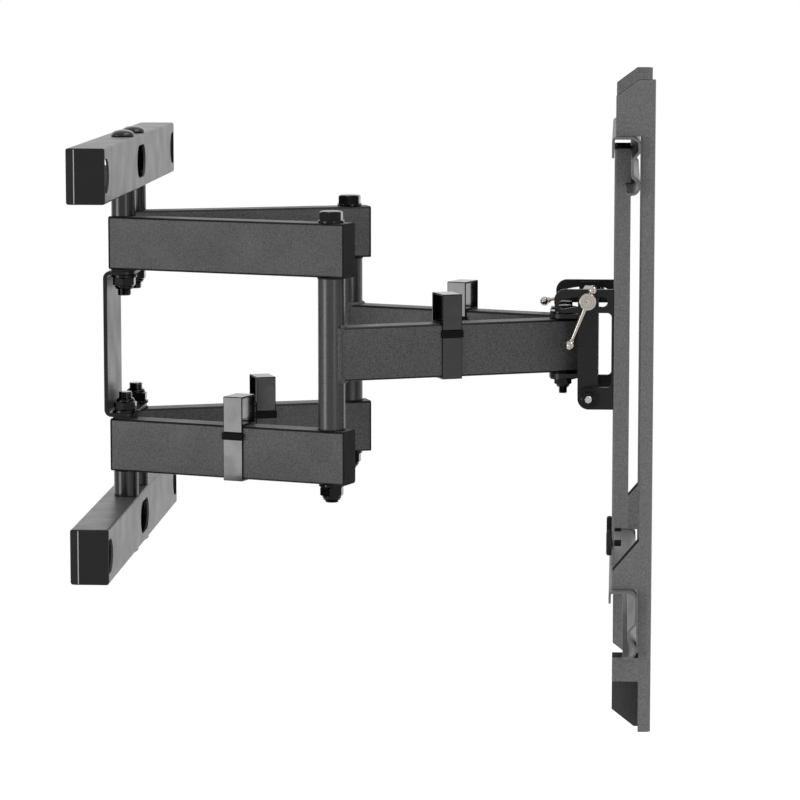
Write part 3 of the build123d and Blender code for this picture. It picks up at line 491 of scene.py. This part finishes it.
# Elbow bolts
# One long M16 bolt a side, with a hexagon head on top and a lock nut below, through both arms and the
# forearm's column. Head and nut keep sharp facets that catch the light.

elbow_head_height = 10.0 * MM
elbow_nut_height = 15.0 * MM
elbow_thread_length = 22 * MM
# The middle of a flat lies this many degrees from X, seen from below
elbow_flat_at = -55
for side, _ in SIDES:
    elbow = pivot[f"elbow_{side}"]
    bolt_low, bolt_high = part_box(f"elbow_bolt_{side}")
    centre = Vector((elbow.x, elbow.y, bolt_high.z))
    length = bolt_high.z - bolt_low.z
    thread_start = length - elbow_thread_length
    shape = bmesh.new()
    head = hexagon_rows(m16_flats, 0.0, elbow_head_height, ease_high=False, flat_at=elbow_flat_at)
    shank = [(m16_radius, elbow_head_height), (m16_radius, thread_start)]
    thread = thread_rows(m16_radius, m16_pitch, thread_start, length)
    skin(shape, head + shank + thread, centre, (0, 0, -1), steps=72)
    piece_from(shape, f"rolled_elbow_bolt_{side}", f"arm_{side}", bright_black_steel, [f"elbow_bolt_{side}"])
    shape = bmesh.new()
    seat = Vector((elbow.x, elbow.y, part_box(f"elbow_nut_{side}")[1].z))
    lock_nut(shape, seat, (0, 0, -1), m16_flats, elbow_nut_height, m16_bore, elbow_flat_at)
    piece_from(shape, f"elbow_lock_nut_{side}", f"arm_{side}", bright_black_steel, [f"elbow_nut_{side}"])
    finished(f"elbow_washers_{side}", f"stamped_elbow_washers_{side}", bright_black_steel, 0.4)

# Forearms
# Tube coped to a round column and welded to it all round, then powder coated over the weld. Flanged
# plastic bushes line the column, and a plug closes the head end.

def weld_bead(shape, path, radius, ripple_mm=2.2, steps=12):
    """A closed run of weld laid along a path: a round bead whose width swells at each drop of metal."""
    # No stretch of a path may run along this direction, from which the bead's sections are turned
    aside = Vector((0.31, 0.22, 0.92))
    count = len(path)
    walked = 0.0
    ring = None
    made = []
    for at in range(count + 1):
        here = path[at % count]
        ahead = path[(at + 1) % count]
        behind = path[(at - 1) % count]
        heading = (ahead - behind).normalized()
        sideways = heading.cross(aside).normalized()
        swell = radius * (0.93 + 0.09 * math.cos(2 * math.pi * walked / (ripple_mm * MM)))
        if ring is None:
            ring = bmesh.ops.create_circle(shape, segments=steps, radius=1.0)["verts"]
            edges = list({edge for vert in ring for edge in vert.link_edges})
            first = edges
            spots = [(vert, math.atan2(vert.co.y, vert.co.x)) for vert in ring]
        elif at < count:
            angles = {tuple(round(c, 9) for c in vert.co): angle for vert, angle in spots}
            grown = bmesh.ops.extrude_edge_only(shape, edges=edges)["geom"]
            ring = [item for item in grown if isinstance(item, bmesh.types.BMVert)]
            inside = set(ring)
            edges = [item for item in grown
                     if isinstance(item, bmesh.types.BMEdge) and inside.issuperset(item.verts)]
            spots = [(vert, angles[tuple(round(c, 9) for c in vert.co)]) for vert in ring]
        else:
            bmesh.ops.bridge_loops(shape, edges=first + edges)
            break
        up = heading.cross(sideways)
        for vert, angle in spots:
            vert.co = here + swell * (sideways * math.cos(angle) + up * math.sin(angle))
        made += ring
        walked += (ahead - here).length
    bmesh.ops.recalc_face_normals(shape, faces=list({face for vert in made for face in vert.link_faces}))


tube_half_width = 15.0 * MM
tube_half_height = 30.0 * MM
bead_radius = 3.4 * MM


def column_weld_path(elbow, heading, count=34):
    """Round the joint of tube and column: over the top, down one side, under, and up the other side."""
    across = Vector((-heading.y, heading.x, 0))
    # The bead's middle lies this far up and to the side, so that it sinks partly into the tube
    top = tube_half_height - 0.6 * MM
    flank = tube_half_width - 1.6 * MM
    # Down the sides it lies this far before the elbow's axis, and over the top it bulges round the column
    side_reach = 5 * MM
    top_reach = 4 * MM
    bulge = 0.8 * (tube_half_width - 1.0 * MM)
    over = []
    for step in range(count):
        turn = math.pi * step / (count - 1)
        reach = top_reach + bulge * math.sin(turn)
        over.append(elbow + across * flank * math.cos(turn) + heading * reach + Vector((0, 0, top)))
    down = [elbow - across * flank + heading * side_reach + Vector((0, 0, top * (1 - 2 * step / count)))
            for step in range(2, count - 1)]
    under = [Vector((spot.x, spot.y, -spot.z)) for spot in reversed(over)]
    rise = [elbow + across * flank + heading * side_reach + Vector((0, 0, -top * (1 - 2 * step / count)))
            for step in range(2, count - 1)]
    return over + down + under + rise


column_radius = 15.0 * MM
# The column is bright drawn tube, so the same powder lies smoother and glossier on it
column_coat = powder_coat("glossy_black_column_coat", "#262626", roughness=0.26, grain_mm=2.4, speck=0.25,
                          depth_mm=0.03, specular=0.5)
for side, outward in SIDES:
    elbow = Vector((pivot[f"elbow_{side}"].x, pivot[f"elbow_{side}"].y, 0))
    head = Vector((pivot["head_pivot"].x, outward * abs(pivot["head_pivot"].y), 0))
    heading = (head - elbow).normalized()
    shape = frame_shape(f"forearm_{side}")
    for face in shape.faces:
        middle = face.calc_center_median()
        face.material_index = int(math.hypot(middle.x - elbow.x, middle.y - elbow.y) < column_radius)
    # The corner faces take the painted shade
    mark_corners(shape, heading, 2)
    arm = finished(f"forearm_{side}", f"coated_forearm_{side}", grained_coat, 0.4, shape=shape)
    arm.data.materials.append(column_coat)
    arm.data.materials.append(painted_shade_corner_coat)
    finished(f"forearm_plug_{side}", f"moulded_forearm_plug_{side}", arm_plug_plastic, 0.4)
    finished(f"elbow_bushes_{side}", f"moulded_elbow_bushes_{side}", plug_plastic, 0.3)
    shape = bmesh.new()
    weld_bead(shape, column_weld_path(elbow, heading), bead_radius)
    piece_from(shape, f"forearm_weld_{side}", f"forearm_{side}", grained_coat,
               smooth_under=60)

# Cable clips
# Four snap-on clips: a strap round the tube with a thicker band, and a square ring above it that holds
# the television's cables. Moulded in glossy black plastic.

# The flat sides come from a polished mould and mirror what they face, in long soft waves
clip_plastic = moulded_plastic("glossy_black_nylon", "#0b0b0b", roughness=0.12, grain_mm=2.5,
                               depth_mm=0.001, specular=0.62)
# The rounded edges and the band stay matt and take no reflection
clip_edge_plastic = moulded_plastic("matt_black_nylon", "#060606", roughness=0.6, depth_mm=0.006,
                                    specular=0.1)
# The band goes round the top of each strap and is this high
band_height = 8.3 * MM
for side, _ in SIDES:
    for place in ("arm", "forearm"):
        shape = frame_shape(f"clip_strap_{place}_{side}")
        band_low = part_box(f"clip_strap_{place}_{side}")[1].z - band_height
        for face in shape.faces:
            face.material_index = int(face.calc_center_median().z > band_low)
        strap = finished(f"clip_strap_{place}_{side}", f"moulded_clip_strap_{place}_{side}", clip_plastic,
                         0.9, segments=3, shape=shape)
        cover = finished(f"clip_cover_{place}_{side}", f"moulded_clip_cover_{place}_{side}", clip_plastic,
                         0.9, segments=3)
        for piece in (strap, cover):
            piece.data.materials.append(clip_edge_plastic)
            piece.modifiers["eased_edges"].material = 1

# Head pivots
# Two M10 bolts with hexagon heads on top and lock nuts below, on wide washers that also hide the holes'
# clearance as the head turns.

m10_radius = 5.0 * MM
m10_pitch = 1.5 * MM
m10_flats = 17.0 * MM
m10_head_height = 6.4 * MM
m10_nut_height = 9.0 * MM
m10_bore = m10_radius - 0.2 * MM
m10_thread_length = 20 * MM
head_low, head_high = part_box("head_pivot_bolts")
nut_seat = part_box("head_pivot_nuts")[1].z
length = head_high.z - head_low.z
thread_start = length - m10_thread_length
rows = hexagon_rows(m10_flats, 0.0, m10_head_height, ease_high=False)
rows += [(m10_radius, m10_head_height), (m10_radius, thread_start)]
rows += thread_rows(m10_radius, m10_pitch, thread_start, length)
bolts, nuts = bmesh.new(), bmesh.new()
for _, outward in SIDES:
    centre = Vector((pivot["head_pivot"].x, outward * abs(pivot["head_pivot"].y), head_high.z))
    skin(bolts, rows, centre, (0, 0, -1), steps=48)
    seat = Vector((centre.x, centre.y, nut_seat))
    lock_nut(nuts, seat, (0, 0, -1), m10_flats, m10_nut_height, m10_bore)
piece_from(bolts, "rolled_head_pivot_bolts", "head_pins", bright_black_steel, ["head_pivot_bolts"])
piece_from(nuts, "head_pivot_lock_nuts", "head_pins", bright_black_steel, ["head_pivot_nuts"])
finished("head_pivot_washers", "stamped_head_pivot_washers", bright_black_steel, 0.3)

# Head bracket
# A web, two pivot flanges and two cheeks cut from 5 mm plate and welded into one piece. Its coat is the
# smooth, nearly black one of the C-shaped bracket.

finished("head_bracket", "welded_head_bracket", smooth_coat, 0.6)

# Tilt pivots and clamp studs
# M10 bolts at the foot of the cheeks carry the tilting frame. Bright zinc-plated ends stand out beyond
# their nuts, and M8 studs above pass through the slotted ears.

# Bright zinc gives small, pale, clean ends that stand out from the black around them
zinc_steel = steel("bright_zinc_plated_steel", "#b0b0ae", roughness=0.24)
tilt_flats = 15.0 * MM
tilt_nut_height = 6.5 * MM
tilt_head_height = 6.0 * MM
stub_radius = 4.0 * MM
stub_pitch = 1.25 * MM
stub_bore = stub_radius - 0.2 * MM
cheek_inner = 51.0 * MM
# Heights run outwards from the inner face of a cheek, and the bolt steps down to its stub at the washer
step_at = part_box("tilt_pivot_washers")[1].y - cheek_inner
tilt_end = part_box("tilt_pivot_bolts")[1].y - cheek_inner
stud_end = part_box("clamp_studs")[1].y - cheek_inner
head = hexagon_rows(tilt_flats, -tilt_head_height, 0.0, ease_high=False)
bolt_rows = head + [(m10_radius, 0.0), (m10_radius, step_at), (stub_radius, step_at)]
bolt_rows += thread_rows(stub_radius, stub_pitch, step_at + 1.5 * MM, tilt_end)
nut_rows = [(stub_bore, 0.0)] + hexagon_rows(tilt_flats, 0.0, tilt_nut_height)
nut_rows += [(stub_radius + 0.5 * MM, tilt_nut_height), (stub_bore, tilt_nut_height - 0.7 * MM)]
stud_rows = head + [(stub_radius, 0.0)] + thread_rows(stub_radius, stub_pitch, 0.5 * MM, stud_end)
bolts, nuts, studs = bmesh.new(), bmesh.new(), bmesh.new()
for _, outward in SIDES:
    axis = (0, outward, 0)
    centre = Vector((pivot["tilt"].x, outward * cheek_inner, pivot["tilt"].z))
    skin(bolts, bolt_rows, centre, axis, steps=48)
    skin(nuts, nut_rows, centre + Vector(axis) * step_at, axis, steps=48, closed=True)
    stud = Vector((pivot["lever_turn_near"].x, outward * cheek_inner, pivot["lever_turn_near"].z))
    skin(studs, stud_rows, stud, axis, steps=48)
piece_from(bolts, "plated_tilt_pivot_bolts", "head", zinc_steel, ["tilt_pivot_bolts"])
piece_from(nuts, "plated_tilt_pivot_nuts", "head", bright_black_steel, ["tilt_pivot_nuts"])
piece_from(studs, "plated_clamp_studs", "head", zinc_steel, ["clamp_studs"])
finished("tilt_pivot_washers", "stamped_tilt_pivot_washers", bright_black_steel, 0.3)

# Clamping levers
# A turned hub on the stud and a tapered rod with a ball at each end, one long arm and one short, all
# polished and nickel plated. The hub's outer face keeps its turned rings.

# Nickel is a warm, slightly grey mirror, white where it faces the studio and black where it faces the mount
nickel_plate = steel("polished_nickel_plate", "#aea7a0", roughness=0.1, lathe_mm=0.6, depth_mm=0.0001)
hub_radius = 9.5 * MM
hub_length = 11.0 * MM
ball_radius = 5.4 * MM
rod_radius = 2.8 * MM
long_reach = 53.0 * MM
short_reach = 14.0 * MM
neck = 1.9 * MM
collar = 3.3 * MM
rim = 1.0 * MM
ring_depth = 0.5 * MM
# A groove goes round the hub near its seat
hub_rows = [(hub_radius - 0.4 * MM, 0.0), (hub_radius, 0.4 * MM), (hub_radius, 2.2 * MM),
            (hub_radius - 0.6 * MM, 2.6 * MM), (hub_radius - 0.6 * MM, 3.2 * MM), (hub_radius, 3.6 * MM)]
hub_rows += arc_rows(hub_radius - rim, hub_length - rim, rim, 0, 90, 4)
hub_rows += [(0.72 * hub_radius, hub_length), (0.68 * hub_radius, hub_length - ring_depth),
             (0.45 * hub_radius, hub_length - ring_depth), (0.41 * hub_radius, hub_length),
             (0.2 * hub_radius, hub_length), (0.12 * hub_radius, hub_length - 0.4 * MM)]
# Degrees round a ball's half section, at the end of the lever and where the rod's collar meets the ball
pole = 84
at_collar = 52
rod_rows = arc_rows(0.0, -short_reach, ball_radius, -pole, at_collar, 14)
rod_rows += [(collar, -short_reach + 5.2 * MM), (neck, -short_reach + 5.6 * MM),
             (rod_radius, 1 * MM - hub_radius), (rod_radius, hub_radius - 1 * MM),
             (neck + 0.3 * MM, 0.6 * long_reach), (neck, long_reach - 7.2 * MM),
             (collar, long_reach - 6.6 * MM), (collar, long_reach - 5.2 * MM)]
rod_rows += arc_rows(0.0, long_reach, ball_radius, -at_collar, pole, 14)
# The rods stand at different angles, measured in degrees from X towards Z
for side, outward, lean in (("near", -1, 248.0), ("far", 1, 194.4)):
    joint = pivot[f"lever_turn_{side}"]
    hub_low, hub_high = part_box(f"lever_{side}")
    seat = Vector((joint.x, hub_high.y if outward < 0 else hub_low.y, joint.z))
    middle = seat + Vector((0, outward * hub_length / 2, 0))
    rod_axis = Vector((math.cos(math.radians(lean)), 0, math.sin(math.radians(lean))))
    shape = bmesh.new()
    skin(shape, hub_rows, seat, (0, outward, 0), steps=56)
    skin(shape, rod_rows, middle, rod_axis, steps=32)
    piece_from(shape, f"chromed_lever_{side}", f"lever_{side}", nickel_plate, [f"lever_{side}"])

# Tilting frame and channel plate
# Two C-shaped cheeks with slotted ears, welded to a tall channel folded from 3 mm sheet. The cheeks carry
# the smooth coat of the brackets, and the channel a paler, matt one.

for side, _ in SIDES:
    finished(f"tilt_cheek_{side}", f"coated_tilt_cheek_{side}", smooth_coat, 0.5)
# A thin, even coat with a fine grain, which looks charcoal grey beside the tubes
sheet_coat = powder_coat("fine_grained_black_powder_coat", "#696969", roughness=0.46, grain_mm=1.4,
                         speck=0.27, depth_mm=0.03)
finished("channel_plate", "folded_channel_plate", sheet_coat, 0.4)

# Lock knobs
# Six-lobed plastic knobs on M8 studs, with rounded rims and a shallow dished face. They are moulded in the
# same dull black plastic as the rails' plugs.

knob_radius = 15.0 * MM
knob_thickness = 6.0 * MM
knob_lobes = 6
lobe_depth = 2.6 * MM
knob_stud_radius = 4.0 * MM


def lobed(share, height):
    """A row of the knob's wavy outline, drawn in to a share of its size."""
    def row(angle):
        wave = 0.5 + 0.5 * math.cos(knob_lobes * angle)
        return share * (knob_radius - lobe_depth * (1 - wave)), height
    return row


knob_rows = [lobed(0.55, 0.0), lobed(0.93, 0.0), lobed(0.98, 0.5 * MM), lobed(1.0, 1.3 * MM),
             lobed(1.0, 3.8 * MM), lobed(0.97, 4.9 * MM), lobed(0.9, 5.7 * MM), lobed(0.78, 6.0 * MM),
             (0.45 * knob_radius, 5.6 * MM), (0.3 * knob_radius, 5.2 * MM)]
for side, _ in SIDES:
    centre = pivot[f"knob_turn_{side}"]
    low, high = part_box(f"lock_knob_{side}")
    seat = Vector((low.x + knob_thickness, centre.y, centre.z))
    shape = bmesh.new()
    skin(shape, knob_rows, seat, (-1, 0, 0), steps=72)
    stud_rows = [(knob_stud_radius, -0.5 * MM)]
    stud_rows += thread_rows(knob_stud_radius, stub_pitch, 0.2 * MM, high.x - seat.x)
    skin(shape, stud_rows, seat, (1, 0, 0), steps=40)
    piece_from(shape, f"moulded_lock_knob_{side}", f"lock_knob_{side}", plug_plastic, [f"lock_knob_{side}"])

# Television rails
# Two lengths of sheet folded into a hook along the top, a hollow bead in front and a returned foot. They
# carry the same matt coat as the channel plate.

for level in ("upper", "lower"):
    finished(f"tv_rail_{level}", f"folded_tv_rail_{level}", sheet_coat, 0.3)

# Television brackets
# Two upright channels of 3 mm sheet. Their webs are cut back between the rails and notched for the
# lower one, and the face has holes and slots for the television's screws.

# Painted shade: the inner sides of the channel's flanges are drawn dark, where shade falls inside the channel
painted_shade_inner_coat = powder_coat("dark_inner_painted_shade", "#303030", roughness=0.5, grain_mm=1.4, speck=0.2,
                         depth_mm=0.03)
for side, _ in SIDES:
    low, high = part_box(f"tv_bracket_{side}")
    shape = frame_shape(f"tv_bracket_{side}")
    # The inner sides of the flanges, which take the painted shade, face along the wall and lie more than 1 mm
    # in
    for face in shape.faces:
        middle = face.calc_center_median()
        depth = min(middle.y - low.y, high.y - middle.y)
        face.material_index = int(depth > 1 * MM and abs(face.normal.y) > 0.9)
    bracket = finished(f"tv_bracket_{side}", f"folded_tv_bracket_{side}", sheet_coat, 0.35, shape=shape)
    bracket.data.materials.append(painted_shade_inner_coat)

# Studio
# A white floor well below the mount, a white surround and three soft sun lamps: a low one on the left in
# front, a weak low one on the right in front, and one above. The camera stands at the photograph's angle.

floor_drop = 0.35
# The floor ends here, so that the wide, low lamps still shine in under the mount past its edge
floor_radius = 2.2
floor_z = cad_box[0][2] - floor_drop


def white_rays(tree):
    """1 for rays that should see plain white: the camera's, and those a surface mirrors or lets through."""
    seen = add(tree, "ShaderNodeLightPath")
    seen_or_mirrored = add(tree, "ShaderNodeMath", {"operation": "MAXIMUM"},
                           {0: seen.outputs["Is Camera Ray"], 1: seen.outputs["Is Glossy Ray"]})
    return add(tree, "ShaderNodeMath", {"operation": "MAXIMUM"},
               {0: seen_or_mirrored.outputs[0], 1: seen.outputs["Is Transmission Ray"]}).outputs[0]


surround_light = 0.46
floor_glow = 0.5
material, tree = new_material("matt_white_floor")
matt = add(tree, "ShaderNodeBsdfDiffuse", {"Color": linear("#e4e4e4")})
lift = add(tree, "ShaderNodeMath", {"operation": "MULTIPLY", 1: floor_glow}, {0: white_rays(tree)})
glow = add(tree, "ShaderNodeEmission", {"Color": (1, 1, 1, 1)}, {"Strength": lift.outputs[0]})
both = add(tree, "ShaderNodeAddShader", links={0: matt.outputs[0], 1: glow.outputs[0]})
add(tree, "ShaderNodeOutputMaterial", links={0: both.outputs[0]})
shape = bmesh.new()
bmesh.ops.create_circle(shape, cap_ends=True, segments=96, radius=floor_radius,
                        matrix=Matrix.Translation((0, 0, floor_z)))
mesh = bpy.data.meshes.new("floor")
shape.to_mesh(mesh)
shape.free()
mesh.materials.append(material)
floor = bpy.data.objects.new("floor", mesh)
bpy.context.scene.collection.objects.link(floor)

world = bpy.data.worlds.new("white_studio")
world.use_nodes = True
bpy.context.scene.world = world
tree = world.node_tree
tree.nodes.clear()
level = add(tree, "ShaderNodeMapRange", {1: 0.0, 2: 1.0, 3: surround_light, 4: 1.0}, {0: white_rays(tree)})
surround = add(tree, "ShaderNodeBackground", {"Color": (1, 1, 1, 1)}, {"Strength": level.outputs[0]})
add(tree, "ShaderNodeOutputWorld", links={0: surround.outputs[0]})


def sun_lamp(name, comes_from, spread_degrees, strength):
    """A sun lamp as wide as a soft box, shining from one direction."""
    light = bpy.data.lights.new(name, "SUN")
    light.angle = math.radians(spread_degrees)
    light.energy = strength
    holder = bpy.data.objects.new(name, light)
    bpy.context.scene.collection.objects.link(holder)
    holder.rotation_euler = Vector(comes_from).to_track_quat("Z", "Y").to_euler()


sun_lamp("left_lamp", (-0.806, -0.592, -0.02), 26, 0.85)
sun_lamp("front_lamp", (0.515, -0.857, 0.06), 18, 0.3)
sun_lamp("top_lamp", (0.55, -0.25, 1.0), 36, 1.1)

# Fitted to the outline in the photograph, in metres and degrees, with the lens in millimetres
camera_place = (0.58945, -3.94257, 0.44025)
camera_turn = math.radians(3.650)
camera_dip = math.radians(7.332)
ahead = Vector((-math.sin(camera_turn) * math.cos(camera_dip), math.cos(camera_turn) * math.cos(camera_dip),
                -math.sin(camera_dip)))
lens = bpy.data.cameras.new("photo_camera")
lens.sensor_width = 36.0
lens.lens = 156.2
camera = bpy.data.objects.new("photo_camera", lens)
bpy.context.scene.collection.objects.link(camera)
right = Vector((math.cos(camera_turn), math.sin(camera_turn), 0))
turned = Matrix((right, right.cross(ahead), -ahead)).transposed().to_4x4()
camera.matrix_world = Matrix.Translation(camera_place) @ turned
bpy.context.scene.camera = camera
bpy.context.scene.view_settings.view_transform = "Standard"
